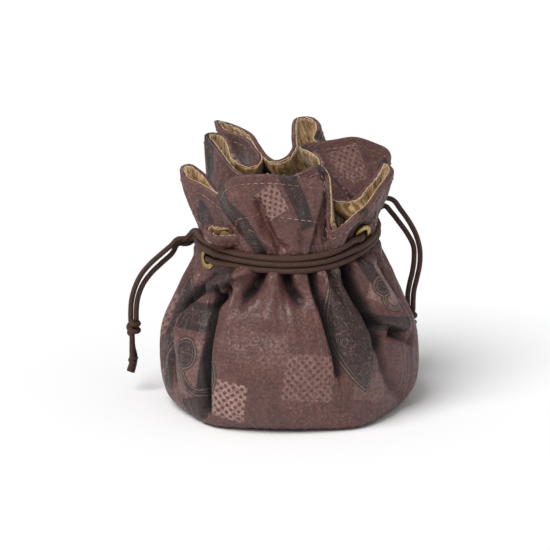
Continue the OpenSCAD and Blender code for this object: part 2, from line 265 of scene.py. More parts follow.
class Finish:
    # a material with one Principled shader and the coordinates that patterns are drawn in
    def __init__(self, name, **constants):
        self.material = bpy.data.materials.new(name)
        self.material.use_nodes = True
        self.tree = self.material.node_tree
        self.shader = self.tree.nodes["Principled BSDF"]
        for key, value in constants.items():
            plug(self.tree, value, self.shader.inputs[key.replace("_", " ")])

    def place(self):  # Object coordinates in millimetres
        n = self.tree.nodes.new("ShaderNodeTexCoord")
        m = self.tree.nodes.new("ShaderNodeVectorMath")
        m.operation = "SCALE"
        self.tree.links.new(n.outputs["Object"], m.inputs[0])
        m.inputs["Scale"].default_value = 1 / mm
        return Signal(self.tree, m.outputs[0])

    def scaled(self, where, by):
        n = self.tree.nodes.new("ShaderNodeVectorMath")
        n.operation = "MULTIPLY"
        plug(self.tree, where, n.inputs[0])
        n.inputs[1].default_value = by if isinstance(by, tuple) else (by, by, by)
        return Signal(self.tree, n.outputs[0])

    def field(self, name):
        n = self.tree.nodes.new("ShaderNodeAttribute")
        n.attribute_name = name
        return Signal(self.tree, n.outputs["Fac"])

    def uv(self):
        n = self.tree.nodes.new("ShaderNodeUVMap")
        n.uv_map = "weave"
        s = self.tree.nodes.new("ShaderNodeSeparateXYZ")
        self.tree.links.new(n.outputs[0], s.inputs[0])
        return Signal(self.tree, s.outputs[0]), Signal(self.tree, s.outputs[1])

    def vector(self, x, y, z=0.0):
        return addNode(self.tree, "CombineXYZ", X=x, Y=y, Z=z)

    def noise(self, where, scale, detail=3.0, rough=0.55, distort=0.0):
        return addNode(self.tree, "TexNoise", Vector=where, Scale=scale, Detail=detail, Roughness=rough,
                       Distortion=distort)

    def cells(self, where, scale, feature="F1", out=0, random=1.0):
        return addNode(self.tree, "TexVoronoi", {"feature": feature}, out=out, Vector=where, Scale=scale,
                       Randomness=random)

    def bump(self, height, distance, strength=1.0, normal=None):
        extra = {} if normal is None else {"Normal": normal}
        return addNode(self.tree, "Bump", Height=height, Distance=distance * mm, Strength=strength, **extra)

    def finish(self, **inputs):
        for key, value in inputs.items():
            plug(self.tree, value, self.shader.inputs[key.replace("_", " ")])
        return self.material


# dark is painted shade for the gaps between the yarns, light the painted lit tops of the yarns
cordLook = {"dark": (26, 14, 10), "light": (122, 84, 68), "picksPerTurn": 7, "pickLength": 1.5}


def cordMaterial(c):
    f = Finish("waxedCord", Roughness=0.62, Specular_IOR_Level=0.35)
    around, along = f.uv()
    rise = along / c["pickLength"]
    # two families of yarns that cross at the slope of a round braid
    one = (around * c["picksPerTurn"] + rise).maths("MULTIPLY", math.pi).sine()
    two = (around * c["picksPerTurn"] - rise).maths("MULTIPLY", math.pi).sine()
    yarn = abs(one * two).root()
    fleck = f.noise(f.place(), 1.6, 4)
    # the yarn pattern paints shade into the gaps between the yarns and lighter yarn tops; the flecks are
    # the cord's own uneven colour
    yarnShadeAndFleck = (yarn * 0.75 + fleck * 0.7 - 0.5).clamp()
    base = mix(yarnShadeAndFleck, colour(*c["dark"]), colour(*c["light"]))
    return f.finish(Base_Color=base, Normal=f.bump(yarn + fleck * 0.3, 0.24))


def brassMaterial():
    f = Finish("agedBrass", Metallic=1.0)
    p = f.place()
    spots = f.noise(p, 1.4, 5).step(0.42, 0.7)
    fine = f.noise(p, 5.0, 3)
    base = mix(spots, colour(182, 158, 104), colour(112, 90, 50))
    return f.finish(Base_Color=base, Roughness=0.3 + spots * 0.2 + fine * 0.1,
                    Normal=f.bump(fine, 0.03, 0.6))


def threadMaterial():
    f = Finish("sewingThread", Roughness=0.6)
    p = f.place()
    twist = f.noise(p, 4.0, 2)
    base = mix(f.noise(p, 0.12, 1).step(0.4, 0.62), colour(138, 98, 90), colour(172, 138, 126))
    return f.finish(Base_Color=base, Normal=f.bump(twist, 0.08))


cordSkin = cordMaterial(cordLook)
brass = brassMaterial()
threadSkin = threadMaterial()

# the neck, the eyelets and the cords, at the places that the frame has them

neck = {"radius": 36.5, "height": 72.0}
# angle round the bag, up from the neck's middle, inset, turn from radial, lean down
eyelets = {
    "front_left": (206.5, -5, -1, 12, -6),
    "front_right": (326, 6.5, -0.9, -8, 20),
    "back_right": (38, 3, 0.6, 0, 4),
    "back_left": (149, 2, 0.6, 0, 4),
}


def eyeletFrame(name):
    angle, up, inset, turn, lean = eyelets[name]
    a, b = math.radians(angle + turn), math.radians(lean)
    centre = polar(neck["radius"] - inset, angle, neck["height"] + up)
    return centre, np.array([math.cos(a) * math.cos(b), math.sin(a) * math.cos(b), -math.sin(b)])


def lane(points):  # angle, distance outside the neck's radius, height over its middle
    q = np.array(points, float)
    return polar(neck["radius"] + q[:, 1], q[:, 0], neck["height"] + q[:, 2])


def through(name, way):  # from outside to inside, along the eyelet's axis and then beside it
    centre, axis = eyeletFrame(name)
    along = unit(np.cross((0, 0, 1), axis))
    q = np.array([[2.5, -3.8], [2.1, -1.9], [0.8, -0.6], [-0.9, -0.1], [-2.6, 0.4], [-3.9, 1.7],
                  [-4.2, 3.6]])
    return centre + q[:, :1] * axis + q[:, 1:] * way * along


leftNeck = np.concatenate([
    [[-45.5, 5.7, 69.2], [-44.2, 5.7, 69.2], [-42.2, 4.8, 71], [-41, 2.6, 73.1], [-39.6, -0.5, 74.5]],
    lane([[187, 2.2, 2.9], [195, 2.6, 2.9], [204, 2.9, 2.7], [213, 2.6, 2.3], [222, 2.2, 1.8],
          [231, 2.1, 1.4],
          [240, 2.1, 1.1], [249, 2.1, 0.9], [258, 2.1, 0.8], [267, 2.1, 0.7], [276, 2.1, 0.8],
          [285, 2.1, 1.2],
          [294, 2.1, 1.8], [303, 2.1, 3], [311, 2.1, 4.6], [316, 2.4, 5.6]]),
    through("front_right", 1),
    lane([[339, -4.5, 8], [347, -4.5, 7], [356, -4.5, 6], [366, -4.5, 5], [376, -4.5, 4],
          [385, -4.5, 3.3]]),
    through("back_right", -1)[::-1],
    lane([[52, 2.1, 3], [61, 2.1, 3], [70, 2.1, 3], [79, 2.1, 3], [88, 2.1, 3], [97, 2.1, 2.7],
          [106, 2.1, 2.1],
          [115, 2.1, 1.4], [124, 2.1, 0.7], [133, 2.1, 0], [142, 2.1, -0.5], [150, 2.1, -0.7]]),
    [[-36.5, 14.8, 70], [-39.2, 12.2, 68.7], [-41.2, 10, 67.4], [-42.8, 8.6, 66.6], [-44.2, 8.3, 66.4],
     [-45.5, 8.3, 66.4]]])
rightNeck = np.concatenate([
    [[38.4, 27.3, 77.3], [37, 27.3, 77.3], [35, 26.7, 76.9], [34.3, 24.8, 76.5], [35, 22.6, 76.2],
     [37.2, 18.6, 75.8], [38.3, 13.8, 75.2]],
    lane([[11, 2.4, 2.6], [2, 2.1, 2.5], [-7, 2.1, 2.2], [-16, 2.1, 1.6], [-25, 2.1, 0.8], [-34, 2.1, -0.2],
          [-43, 2.1, -1.4], [-52, 2.1, -2.6], [-61, 2.1, -3.5], [-70, 2.1, -4.1], [-79, 2.1, -4.5],
          [-88, 2.1, -4.6], [-97, 2.1, -4.6], [-106, 2.1, -4.6], [-115, 2.1, -4.5], [-124, 2.1, -4.4],
          [-133, 2.3, -4.7], [-141, 3, -5]]),
    through("front_left", -1),
    lane([[193, -4.5, -3.4], [185, -4.5, -1.7], [177, -4.5, -0.2], [169, -4.5, 1], [162, -4.5, 1.6]]),
    through("back_left", 1)[::-1],
    lane([[135, 2.1, 3], [126, 2.1, 3.7], [117, 2.1, 4.4], [108, 2.1, 5], [99, 2.1, 5.5], [90, 2.1, 5.7],
          [81, 2.1, 5.8], [72, 2.1, 5.8], [63, 2.1, 5.8], [54, 2.1, 5.8], [45, 2.1, 5.8], [36, 2.1, 5.8],
          [27, 2.1, 5.7], [18, 2.1, 5.5], [9, 2.1, 5.3], [0, 2.1, 5], [-9, 2.1, 4.8], [-18, 2.4, 4.2],
          [-27, 2.9, 3.4], [-36, 2.9, 2.4], [-45, 2.5, 1.4], [-54, 2.1, 0.2], [-63, 2.1, -0.9],
          [-72, 2.1, -1.4],
          [-81, 2.1, -1.7], [-90, 2.1, -1.8], [-99, 2.1, -1.8], [-108, 2.1, -1.7], [-117, 2.1, -1.6],
          [-126, 2.1, -1.5], [-135, 2.4, -1.3], [-144, 3.3, -0.9], [-153, 4, -0.4], [-162, 3.9, -0.2],
          [-171, 2.9, -0.4], [-180, 2.2, -0.6], [-189, 2.1, -0.2], [-196, 2.1, 0.9], [-204, 2.1, 2.8],
          [-211, 2.1, 4.7], [-219, 2.1, 5.8], [-228, 2.1, 6.6], [-237, 2.1, 7.2], [-246, 2.1, 7.7],
          [-255, 2.1, 8], [-264, 2.1, 8.1], [-273, 2.1, 8.2], [-282, 2.1, 8.2], [-291, 2.1, 8.2],
          [-300, 2.1, 8.2], [-308, 2.8, 8.3]]),
    [[28.6, 28.6, 80.3], [31.8, 26.7, 80.4], [34.5, 25.3, 80.6], [37, 24.7, 80.7], [38.4, 24.7, 80.7]]])

tails = {
    "left_tail_front": [[-45.5, 5.7, 69.2], [-46.9, 5.7, 69.2], [-50.5, 5.8, 66], [-55, 6, 62],
                        [-59.3, 6.1, 58],
                        [-63.2, 6.3, 53.2], [-66, 6.5, 47.5], [-67.7, 6.8, 41], [-68.1, 7, 35.5],
                        [-68.1, 7, 32]],
    "left_tail_back": [[-45.5, 8.3, 66.4], [-46.9, 8.3, 66.4], [-50, 8.2, 62], [-54.8, 8, 57.5],
                       [-59.3, 7.8, 53],
                       [-62.8, 7.6, 48], [-65, 7.3, 42], [-65.7, 7, 35.5], [-65.7, 7, 32]],
    "right_tail_front": [[38.4, 24.7, 80.7], [39.8, 24.7, 80.7], [42, 24.9, 82.1], [45, 25.4, 81.6],
                         [49.2, 25.8, 76.6], [52.9, 26, 71.2], [56, 26, 65], [57.6, 26, 58.6],
                         [57.6, 26, 52],
                         [56.4, 26, 45.5], [55.2, 26, 40], [54.9, 26, 35.2], [54.9, 26, 31.6]],
    "right_tail_back": [[38.4, 27.3, 77.3], [39.8, 27.3, 77.3], [42, 27, 78.2], [45, 26.6, 75.4],
                        [48.3, 26.3, 71.2], [52, 26.2, 66], [54.8, 26.1, 60.2], [55.1, 26, 54.5],
                        [54.4, 26, 48.5], [53.1, 26, 42.5], [52.5, 26, 38], [52.5, 26, 35.2],
                        [52.5, 26, 31.6]],
}
# the cord's thickness in the tails and round the neck, the sides of its tubes and the step along it
cordSize = {"diameter": 2.3, "atNeck": 2.6, "sides": 14, "step": 0.7}
knots = {
    "left": {"top": (-66.9, 7, 33.2), "body": "left_ends", "turn": 200.0},
    "right": {"top": (53.7, 26, 32.8), "body": "right_ends", "turn": 20.0},
}
knotShape = {"height": 8.6, "wrapRadius": 2.05, "wraps": 2.1, "tilt": 0.7}
cordEnds = {
    "a": [[-0.7, -1.2, 1.5], [-0.7, -1.2, 0], [-0.8, -1.2, -6], [-0.9, -1.2, -11], [-2.1, -1, -15]],
    "b": [[-0.7, 1.2, 1.5], [-0.7, 1.2, 0], [-0.5, 1.2, -4.5], [0.4, 1.2, -9.4], [0, 1.1, -12.8],
          [-0.9, 1, -16.2]],
}


tipKnot = {"turn": 150.0, "turns": 1.6, "radius": 1.5, "x": -0.35, "top": -8.4, "drop": 2.9,
           "thickness": 1.5}


def tubeParts(line, radius, sides, start=0):
    # circles along a line, with flat ends, and a weave map of turns by millimetres
    points = ringsAlong(line, radius, sides)
    rows = len(line)
    faces = gridFaces(rows, sides, start=start)
    along = lengthAlong(line)
    j = np.arange(sides) / sides
    u = np.stack([j, j + 1 / sides, j + 1 / sides, j], axis=-1)
    v = np.stack([along[:-1], along[:-1], along[1:], along[1:]], axis=-1)
    uv = np.stack(np.broadcast_arrays(u[None], v[:, None]), axis=-1)
    caps = [list(range(start + sides - 1, start - 1, -1)),
            list(range(start + (rows - 1) * sides, start + rows * sides))]
    return points.reshape(-1, 3), faces, uv.reshape(-1, 2), caps


def joinTubes(lines, radius, sides):
    points, faces, uv, caps, start = [], [], [], [], 0
    for line in lines:
        p, f, m, c = tubeParts(line, radius, sides, start)
        points.append(p)
        faces.append(f)
        uv.append(m)
        caps += c
        start += len(p)
    return np.concatenate(points), np.concatenate(faces), np.concatenate(uv), caps


def makeCords(c):
    radius = c["diameter"] / 2
    for name, route in (("leftNeckCord", leftNeck), ("rightNeckCord", rightNeck)):
        p, f, uv, caps = joinTubes([curveThrough(route, c["step"])], c["atNeck"] / 2, c["sides"])
        node = "left_cord_neck" if name.startswith("left") else "right_cord_neck"
        makeMesh(name, p, f, "root", cordSkin, [node], uv, ends=caps)
    for side, k in knots.items():
        makeKnot(side, k, radius)
    for name, route in tails.items():
        side = name.split("_")[0]
        line = curveThrough(route, c["step"])
        p, f, uv, caps = joinTubes([line], radius, c["sides"])
        tail = makeMesh(name.replace("_", "-"), p, f, None, cordSkin, [name], uv, ends=caps)
        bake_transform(tail)


def makeKnot(side, k, radius):
    # two wraps round the strands, one tilted each way, that start and end inside the knot
    s = knotShape
    middle = np.array(k["top"], float) - (0, 0, s["height"] / 2)
    turns = np.linspace(0, 1, 22)
    a = np.radians(k["turn"]) + turns * 2 * np.pi * s["wraps"]
    tuck = smooth(turns / 0.12) * smooth((1 - turns) / 0.12)
    r = s["wrapRadius"] * (0.35 + 0.65 * tuck)
    room = s["height"] / 2 - radius
    z = room * (1 - 2 * turns) + s["tilt"] * np.sin(a) * tuck
    wraps = np.stack([r * np.cos(a) * 1.02, r * np.sin(a) * 0.98, np.clip(z, -room, room)], axis=1)
    core = [[[x, 0, room + 0.6], [x * 0.8, 0.3, 1.5], [-0.7, y * 0.8, -1.5], [-0.7, y, -room - 0.6]]
            for x, y in ((-1.2, -1.2), (1.2, 1.2))]
    lines = [curveThrough(wraps, 0.5)] + [curveThrough(q, 0.6) for q in core]
    p, f, uv, caps = joinTubes([q + middle for q in lines], radius, 14)
    makeMesh(side + "Knot", p, f, k["body"], cordSkin, [side + "_knot"], uv, ends=caps)
    under = np.array(k["top"], float) - (0, 0, s["height"])
    lines = [curveThrough(under + np.array(q), 0.7) for q in cordEnds.values()]
    p, f, uv, caps = joinTubes(lines, radius, 14)
    # a small turn of one strand round the other near the tip
    t = np.linspace(0, 1, 14)
    a = np.radians(tipKnot["turn"]) + t * 2 * np.pi * tipKnot["turns"]
    r = tipKnot["radius"] * (0.5 + 0.5 * smooth(t / 0.2) * smooth((1 - t) / 0.2))
    wrap = np.stack([tipKnot["x"] + r * np.cos(a), r * np.sin(a) * 1.3,
                     tipKnot["top"] - tipKnot["drop"] * t], axis=1)
    q, g, m, e = tubeParts(curveThrough(under + wrap, 0.4), tipKnot["thickness"] / 2, 10, len(p))
    makeMesh(side + "CordEnds", np.concatenate([p, q]), np.concatenate([f, g]), k["body"], cordSkin,
             [side + "_cord_ends"], np.concatenate([uv, m]), ends=caps + e)


makeCords(cordSize)
print("cords in place")

# the leather: a belly, a gathered neck and a collar that opens in folds

# the mouth's edge, lobe by lobe: the part of the neck that it grows from, in degrees, and its points
mouth = [
    (234, 286, [[-30, -20, 94], [-28, -26, 99], [-25, -32, 104.5], [-11, -34, 107], [3, -34, 106],
                [15, -33, 104]]),
    (286, 291, [[5, -29, 102], [-9, -26, 103]]),
    (291, 297, [[0, -25, 103.5], [7, -25, 106.5], [13, -24, 108.5], [14.5, -25, 107], [15.5, -28, 99.5],
                [16, -32, 90]]),
    (297, 337, [[17, -35, 83], [23, -33, 84.5], [30, -28, 88.5], [34.5, -22, 91], [40, -12, 96],
                [43.5, -6, 99],
                [45, 0, 101], [41.5, 2, 103]]),
    (337, 354, [[36, -4, 99], [32, -10, 95.5], [28, -15, 92.5], [24, -18, 92], [20.5, -18, 93],
                [17.5, -17, 94.5],
                [16, -15, 98], [15.5, -11, 101.5], [15, -5, 107.5], [11, 0, 109.5], [7, 5, 110]]),
    (354, 388, [[20, 10, 111], [29, 13, 111.5], [37.5, 14, 108.5], [43.5, 14, 105.5], [44.5, 17, 102],
                [37.5, 22, 104], [24.5, 24, 107], [13, 23, 109]]),
    (388, 425, [[14.5, 28, 112], [14.5, 31, 113], [11.5, 35, 115], [6, 36, 115], [2.5, 33, 114.5],
                [1.5, 28, 108.5], [1.5, 20, 105], [-1.5, 15, 102.5]]),
    (425, 442, [[-5, 12, 102], [-8, 15, 103], [-12, 22, 106.5]]),
    (442, 488, [[-15.5, 28, 110], [-19, 30, 111.5], [-26.5, 33, 113.5], [-32, 30, 114.5], [-29, 27, 111.5],
                [-23, 24, 110], [-17.5, 20, 108], [-15.5, 17, 105.5], [-13.5, 14, 103.5],
                [-14, 12, 101.5]]),
    (488, 496, [[-17, 10, 100.5], [-20, 10, 101.5]]),
    (496, 530, [[-22.5, 11, 103.5], [-24, 15, 108], [-26, 18, 110.5], [-29, 20, 111.5], [-33, 18, 112.5],
                [-36, 14, 112.5], [-33, 10, 109.5], [-29.5, 5, 106], [-25, 0, 101.5], [-19.5, -5, 98]]),
    (530, 560, [[-28.5, -8, 93.5], [-36, -5, 101], [-42, -3, 104], [-46, -3, 102.5], [-45.5, -6, 100],
                [-38, -12, 97], [-30.5, -18, 93.5]]),
    (560, 594, [[-23, -22, 85], [-20.5, -24, 82], [-27, -25, 83], [-34.5, -26, 83.4], [-35.8, -30, 82],
                [-32.5, -33.4, 80.3], [-26, -33.8, 79.8], [-20, -32.2, 80.3], [-18, -29, 83],
                [-22, -23, 88]]),
]
leather = {
    "columns": 520, "bodyRows": 104, "collarRows": 42, "rollRows": 8, "innerRows": 18,
    "rollRadius": 1.0, "thickness": 1.2,
}
# radius and height of the belly from the base's edge up to the neck
bellyOutline = [[45.2, 0.3], [48.6, 0.9], [51, 2.3], [53.2, 5], [54.9, 10], [55.7, 17], [55.6, 26],
                [55, 31],
                [53.1, 37], [50.7, 42], [48.2, 47], [45.5, 53], [42.9, 58], [40.4, 63], [38.7, 67],
                [37.2, 70.2],
                [36.9, 72]]
# how high the middle of the band of cords runs, by angle
bandHeight = [[0, 3.7], [45, 5], [90, 5.6], [135, 3], [160, 1], [187, 0.5], [206, -0.5], [225, -1.2],
              [270, -1.9],
              [300, -0.8], [326, 0.8], [345, 3], [360, 3.7]]
# folds of the belly, lines of [angle, height]: depth, width towards smaller angles, the other width
valleys = [
    ([[228, 55], [230, 48], [231, 41], [233, 27], [233, 11], [232, 2]], 5.8, 4.2, 1.2),
    ([[234, 58], [230, 54], [226, 50]], 4.6, 2.2, 2.0),
    ([[215, 57], [206, 51], [199, 43]], 6.2, 5.4, 2.4),
    ([[199, 45], [203, 36], [207, 26], [209, 15]], 5.0, 2.0, 1.3),
    ([[254, 69], [250.5, 62], [245.5, 57]], 5.8, 3.4, 2.4),
    ([[268, 68], [271, 61], [276, 56.5]], 5.6, 2.6, 3.0),
    ([[283, 69], [285, 60], [288, 52], [290, 42], [291, 35], [292, 26]], 4.8, 1.1, 3.8),
    ([[295, 68], [298, 61], [302, 55]], 2.8, 1.8, 2.0),
    ([[309, 69], [311, 60], [313, 54], [316, 48], [318, 42], [318, 36]], 8.0, 3.4, 3.2),
    ([[316, 43], [323, 38.5], [332, 35], [342, 31]], 5.4, 2.2, 2.2),
    ([[317, 34], [319, 25], [324, 16], [334, 8]], 2.2, 3.6, 3.4),
    ([[340, 68], [343, 58], [348, 48], [352, 38]], 4.2, 2.8, 2.4),
    ([[3, 70], [6, 58], [4, 44], [8, 30]], 5.0, 2.6, 3.4),
    ([[20, 72], [24, 60], [29, 50]], 3.8, 3.0, 2.4),
    ([[41, 73], [44, 62], [42, 50], [45, 34], [44, 20]], 5.4, 2.2, 3.8),
    ([[60, 74], [63, 64], [68, 55]], 4.0, 2.6, 2.6),
    ([[80, 75], [83, 62], [88, 48], [90, 36]], 5.0, 3.8, 2.0),
    ([[100, 74], [99, 64], [96, 56]], 3.4, 2.6, 2.6),
    ([[124, 72], [127, 60], [132, 48], [133, 32], [131, 18]], 5.6, 2.0, 4.0),
    ([[143, 70], [147, 60], [150, 52]], 3.6, 2.6, 2.6),
    ([[164, 70], [166, 58], [171, 46], [172, 34]], 4.8, 3.4, 2.0),
    ([[183, 69], [186, 58], [184, 46], [188, 33], [190, 20]], 4.4, 2.2, 3.0),
]
crests = [
    ([[245, 70], [234, 64.5], [222, 60], [211, 56]], 4.2, 3.2, 3.2),
    ([[261, 68], [261, 60], [259, 50]], 2.6, 3.6, 3.6),
    ([[272, 49], [262, 50], [250, 50], [240, 49]], 1.4, 4.5, 4.5),
    ([[236, 53], [237.5, 40], [238.5, 24], [238, 9]], 2.2, 3.0, 9.0),
    ([[291, 66], [298, 50], [302, 38], [303, 27]], 2.2, 5.0, 5.5),
    ([[326, 63], [329, 54], [334, 45], [339, 40]], 4.4, 5.5, 6.0),
    ([[206, 42], [216, 30], [219, 15]], 1.8, 5.0, 6.5),
]
# folds of the collar's front, lines of [x, height]: depth inwards (minus for a crest), width
collarFolds = [
    ([[-13, 96], [-9, 85], [-3, 77]], 4.0, 1.7),
    ([[-23, 97], [-17, 87], [-8, 79]], -2.4, 3.2),
    ([[16.5, 86], [15.5, 79]], 1.8, 1.8),
    ([[6.5, 84], [7.5, 78]], 1.6, 2.0),
    ([[32, 85], [29, 79]], 1.4, 1.8),
    ([[-37, 92], [-35, 82]], 1.8, 2.4),
]


def awayFromLine(flat, line):
    # distance to a bent line in a plane, the side it is on, and how far along it
    best = np.full(flat.shape[:-1], 1e9)
    side = np.zeros(flat.shape[:-1])
    share = np.zeros(flat.shape[:-1])
    p = np.asarray(line, float)
    lengths = lengthAlong(p)
    for k in range(len(p) - 1):
        d = p[k + 1] - p[k]
        t = np.clip(((flat - p[k]) @ d) / (d @ d), 0, 1)
        off = flat - p[k] - t[..., None] * d
        r = np.linalg.norm(off, axis=-1)
        closer = r < best
        best = np.where(closer, r, best)
        side = np.where(closer, np.sign(off[..., 0] + 1e-9), side)
        share = np.where(closer, (lengths[k] + t * (lengths[k + 1] - lengths[k])) / lengths[-1], share)
    return best, side, share


def foldField(angle, height, folds):
    # a groove across each line, narrower on one side, that fades towards the line's lower end
    total = np.zeros(np.broadcast(angle, height).shape)
    for line, depth, lowWidth, highWidth in folds:
        q = np.array(line, float)
        centre = q[:, 0].mean()
        turn = (angle - centre + 180) % 360 - 180
        flat = np.stack(np.broadcast_arrays(turn * 0.93, height), axis=-1)
        q[:, 0] = (q[:, 0] - centre) * 0.93
        r, side, share = awayFromLine(flat, q)
        width = np.where(side < 0, lowWidth, highWidth)
        total += depth * np.exp(-(r / width)**2) * (1 - 0.35 * share**2)
    return total


def normalsOf(points):
    across = np.roll(points, -1, 1) - np.roll(points, 1, 1)
    up = np.gradient(points, axis=0)
    return unit(np.cross(across, up))


def ontoEyelets(points, angle):
    # the cloth lies flat under each eyelet, and only the cloth that grows from the neck there
    flatRadius, fadeRadius = 7.75, 13.75
    for name in eyelets:
        centre, axis = eyeletFrame(name)
        off = points - centre
        w = 1 - smooth((np.linalg.norm(off, axis=-1) - flatRadius) / (fadeRadius - flatRadius))
        turn = np.abs((angle - eyelets[name][0] + 180) % 360 - 180)
        w = w * (1 - smooth((turn - 15) / 8))
        points = points - (w * (off @ axis))[..., None] * axis
    return points


def leatherGrid(c):
    control, ring = [], []
    for low, high, points in mouth:
        q = np.array(points, float)
        s = lengthAlong(q)
        control.append(q)
        ring.append(low + (high - low) * (s + 1.5) / (s[-1] + 3))
    control, ring = np.concatenate(control), np.concatenate(ring)
    edge = curveThrough(control, 0.4, closed=True)
    along = lengthAlong(np.concatenate([edge, edge[:1]]))
    # where each control point came to lie on the fine curve
    nearest = np.array([np.argmin(np.linalg.norm(edge - q, axis=1)) for q in control])
    nearest[0] = 0
    nearest = np.maximum.accumulate(nearest)
    at = along[nearest]
    keep = np.concatenate([[True], np.diff(at) > 1e-6])
    at, ring = at[keep], ring[keep]
    total = along[-1]
    ringOf = np.interp(along, np.concatenate([at, [total]]), np.concatenate([ring, [ring[0] + 360]]))
    # columns are shared out evenly between the length of the mouth and the turn round the neck
    # with more of them at the front, where the belly's folds are the sharpest
    w = 0.4 * along / total + 0.45 * (ringOf - ringOf[0]) / 360
    w = w + 0.15 * np.interp(ringOf, [ringOf[0], 350, 560, ringOf[0] + 360], [0, 0.7, 0.7, 1.0])
    u = np.arange(c["columns"]) / c["columns"]
    arc = np.interp(u, w, along)
    angle = np.interp(u, w, ringOf)
    # ease the angles so that the pleats do not pinch
    closed = np.concatenate([angle[-9:] - 360, angle, angle[:9] + 360])
    angle = np.convolve(closed, np.ones(19) / 19, "valid")
    full = np.concatenate([edge, edge[:1]])
    hem = np.stack([np.interp(arc, along, full[:, j]) for j in range(3)], axis=1)
    return hem, angle, arc


def bodyRows(c, angle):
    outline = curveThrough([[r, 0, z] for r, z in bellyOutline], 0.2)[:, [0, 2]]
    s = lengthAlong(outline)
    at = np.linspace(0, s[-1], c["bodyRows"])
    r = np.interp(at, s, outline[:, 0])[:, None]
    z = np.interp(at, s, outline[:, 1])[:, None]
    turn = (angle % 360)[None, :]
    lift = np.interp(turn, *np.array(bandHeight, float).T)
    high = smooth((z - 8) / 64)
    rise = smooth((z - 1) / 8)
    wobble = np.sin(np.radians(turn * 24) + 1.3 * np.sin(np.radians(turn * 5)) + 0.7)
    pleats = 0.9 * (1 - wobble) / 2 * smooth((z - 46) / 20) * (1 - 0.75 * smooth((z - 68.5) / 3))
    fine = 0.35 * np.sin(np.radians(turn * 41) + 2 * np.sin(np.radians(turn * 7))) * smooth((z - 50) / 16)
    slack = 0.7 * np.sin(np.radians(turn * 3) + 1.0) + 0.5 * np.sin(np.radians(turn * 7) + 2.0 + z * 0.05)
    deep = 1.35 * foldField(turn, z, valleys)
    folds = deep - foldField(turn, z, crests)
    underBand = 1 - 0.8 * smooth((z - 67.5) / 3.5)
    bulge = 1.5 * np.exp(-((z - 66.5) / 2.6)**2)
    radius = r - pleats + fine * underBand + slack * rise * (1 - high) - folds * rise * underBand + bulge
    seam = 0.8 * np.exp(-(((turn - 112.5 + 180) % 360 - 180) * 0.93 / 1.1)**2) * rise
    # the belly rests on two soft corners at the front
    corners = np.exp(-((turn - 234) / 15)**2) + np.exp(-((turn - 304) / 16)**2)
    sag = 4.6 * corners * np.exp(-np.maximum(z - 1.5, 0) / 4.5) * smooth((z - 0.3) / 0.8)
    return polar(radius - seam + sag, np.broadcast_to(turn, radius.shape), z + lift * high), deep * rise


def collarRows(c, angle, hem, low):
    # a cubic from the neck up to the mouth: straight up and out at first, and downwards at its end
    outwards = polar(1.0, angle, 0.0)
    reach = np.linalg.norm(hem - low, axis=1)[:, None]
    p0 = low
    p1 = low + outwards * 2.6 + np.array([0, 0, 1]) * reach * 0.3
    flatWay = (low - hem) * [1, 1, 0]
    p2 = hem - np.array([0, 0, 1]) * reach * 0.36 + flatWay * 0.12
    t = np.linspace(0, 1, c["collarRows"] + 1)[1:, None, None]
    return p0 * (1 - t)**3 + p1 * 3 * t * (1 - t)**2 + p2 * 3 * t**2 * (1 - t) + hem * t**3


def shapeLeather(c):
    hem, angle, arc = leatherGrid(c)
    body, deep = bodyRows(c, angle)
    collar = collarRows(c, angle, hem, body[-1])
    outer = ontoEyelets(np.concatenate([body, collar]), angle)
    n = normalsOf(outer)
    for line, depth, width in collarFolds:
        q = np.array(line, float)
        r = awayFromLine(outer[..., [0, 2]], q)[0]
        facing = np.clip(-n[..., 1] * 1.6, 0, 1) * smooth((-12 - outer[..., 1]) / 8)
        outer = outer - n * (depth * np.exp(-(r / width)**2) * facing)[..., None]
    # creases of the worked leather, finer near the neck
    rows = np.arange(len(outer))[:, None]
    ripple = np.sin(arc[None, :] * 0.9 + rows * 0.16 + 2 * np.sin(arc[None, :] * 0.23 + rows * 0.05))
    amount = np.where(rows < c["bodyRows"], 0.14, 0.26) * smooth((len(outer) - 1 - rows) / 4)
    outer = outer + normalsOf(outer) * (ripple * amount)[..., None]
    return outer, angle, arc, np.concatenate([deep, deep[-1:] * np.linspace(1, 0, len(collar))[:, None]])


print("working out the leather")
outer, ringAngle, hemArc, foldDepth = shapeLeather(leather)
outerNormal = normalsOf(outer)


def easedNormals(points, passes=6):
    n = normalsOf(points)
    for _ in range(passes):
        n = unit(n + np.roll(n, 1, 1) + np.roll(n, -1, 1))
    return n


# the facing and the lining lie further from the sharp folds the deeper they are in the collar
wideNormal = easedNormals(outer, 90)
easedNormal = easedNormals(outer)
topNormal, topWay = easedNormal[-1], unit(outer[-1] - outer[-3])


def rolledEdge(c):
    # half a circle from the outer face over to the inner one
    a = np.linspace(0, np.pi, c["rollRows"] + 1)[1:, None, None]
    r = c["rollRadius"]
    return outer[-1] - topNormal * r * (1 - np.cos(a)) + topWay * r * np.sin(a)


def dropsBelowHem():
    # distance down each column from the mouth's edge
    steps = np.linalg.norm(np.diff(outer, axis=0), axis=2)
    down = np.concatenate([np.cumsum(steps[::-1], axis=0)[::-1], np.zeros((1, outer.shape[1]))])
    return down


drop = dropsBelowHem()
deepShare = smooth((drop - 3) / 12)[..., None]
easedNormal = unit(easedNormal * (1 - deepShare) + wideNormal * deepShare)


def innerFace(rows, atHem, below):
    # the outer face set back along its normal: further where the leather is turned in at the mouth
    keep = np.unique(np.round(np.linspace(1, len(outer) - 2, rows)).astype(int))[::-1]
    back = below + (atHem - below) * smooth((17 - drop[keep]) / 14)
    return outer[keep] - easedNormal[keep] * back[..., None], keep


eyeletHole = {"radius": 3.15, "throughLeather": 3.2, "throughLining": 4}


